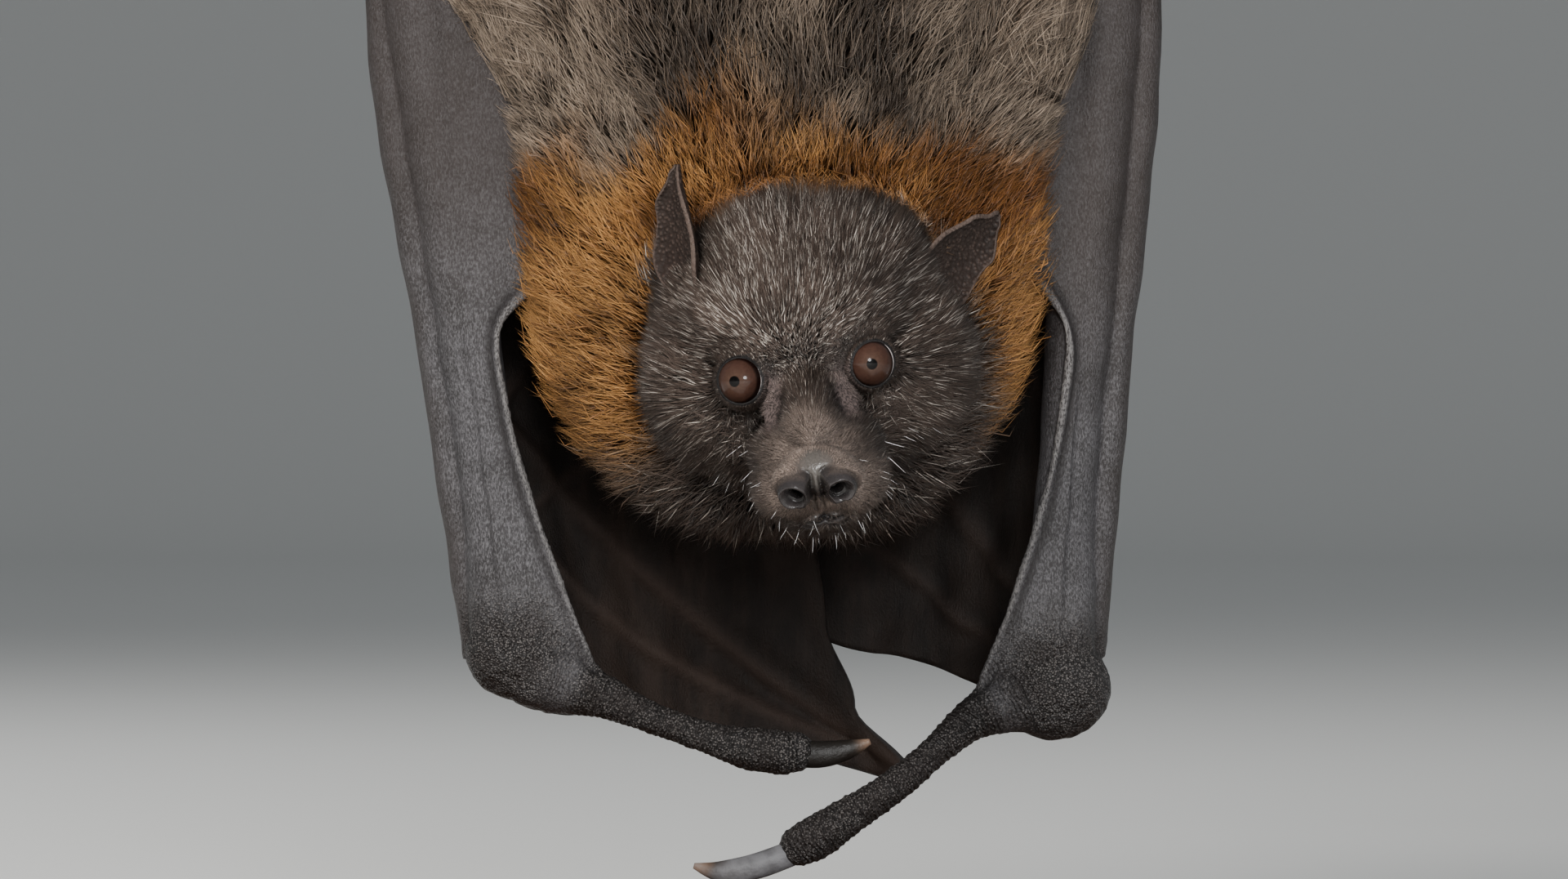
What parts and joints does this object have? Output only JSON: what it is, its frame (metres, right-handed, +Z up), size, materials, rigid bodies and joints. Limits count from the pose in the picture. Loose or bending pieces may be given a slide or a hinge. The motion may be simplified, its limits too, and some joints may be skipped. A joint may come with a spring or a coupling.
{
  "type": "fruit bat",
  "caption": "Still life-size fruit bat hanging head down from a cut branch, wings folded round it and face lifted, held by a plain display stand.",
  "frame": {"origin": "middle of the stand base's underside", "axes": "+Z up towards the branch and the feet; the face and the back look along -Y, the belly along +Y; the bat's own right side is at -X"},
  "size_m": [0.41, 0.23, 0.4489],
  "materials": {
    "head_coat": "short dark brown-grey fur with silver tips",
    "mantle_coat": "long orange-brown fur, paler at the tips",
    "coat": "long grey-brown fur with tan and dark patches",
    "leg_coat": "short brown fur",
    "wing_skin": "dark grey bare skin, fine grained with a soft gloss",
    "ear_skin": "dark brown pebbled bare skin",
    "eye": "wet red-brown iris with a small black pupil",
    "claw": "smooth grey horn, browner at the tip",
    "bark": "rough bark with pale sawn ends",
    "stand_wood": "dark satin wood",
    "stand_steel": "brushed"
  },
  "bodies": {
    "root": {"arm_web_left": "wing_skin", "arm_web_right": "wing_skin", "ear_left": "ear_skin", "ear_right": "ear_skin", "eye_left": "eye", "eye_right": "eye", "finger_claw_left": "claw", "finger_claw_right": "claw", "fingers_left": "wing_skin", "fingers_right": "wing_skin", "flank_web_left": "wing_skin", "flank_web_right": "wing_skin", "foot_left": "wing_skin", "foot_right": "wing_skin", "forearm_left": "wing_skin", "forearm_right": "wing_skin", "front_web_left": "wing_skin", "front_web_right": "wing_skin", "hand_web_left": "wing_skin", "hand_web_right": "wing_skin", "head": "head_coat", "neck": "mantle_coat", "perch_branch": "bark", "shank_left": "leg_coat", "shank_right": "leg_coat", "stand_base": "stand_wood", "stand_rod_left": "stand_steel", "stand_rod_right": "stand_steel", "thigh_left": "leg_coat", "thigh_right": "leg_coat", "thumb_claw_left": "claw", "thumb_claw_right": "claw", "thumb_left": "wing_skin", "thumb_right": "wing_skin", "toe_claw_left_1": "claw", "toe_claw_left_2": "claw", "toe_claw_left_3": "claw", "toe_claw_left_4": "claw", "toe_claw_left_5": "claw", "toe_claw_right_1": "claw", "toe_claw_right_2": "claw", "toe_claw_right_3": "claw", "toe_claw_right_4": "claw", "toe_claw_right_5": "claw", "trunk": "coat", "upper_arm_left": "coat", "upper_arm_right": "coat"}
  },
  "joints": []
}
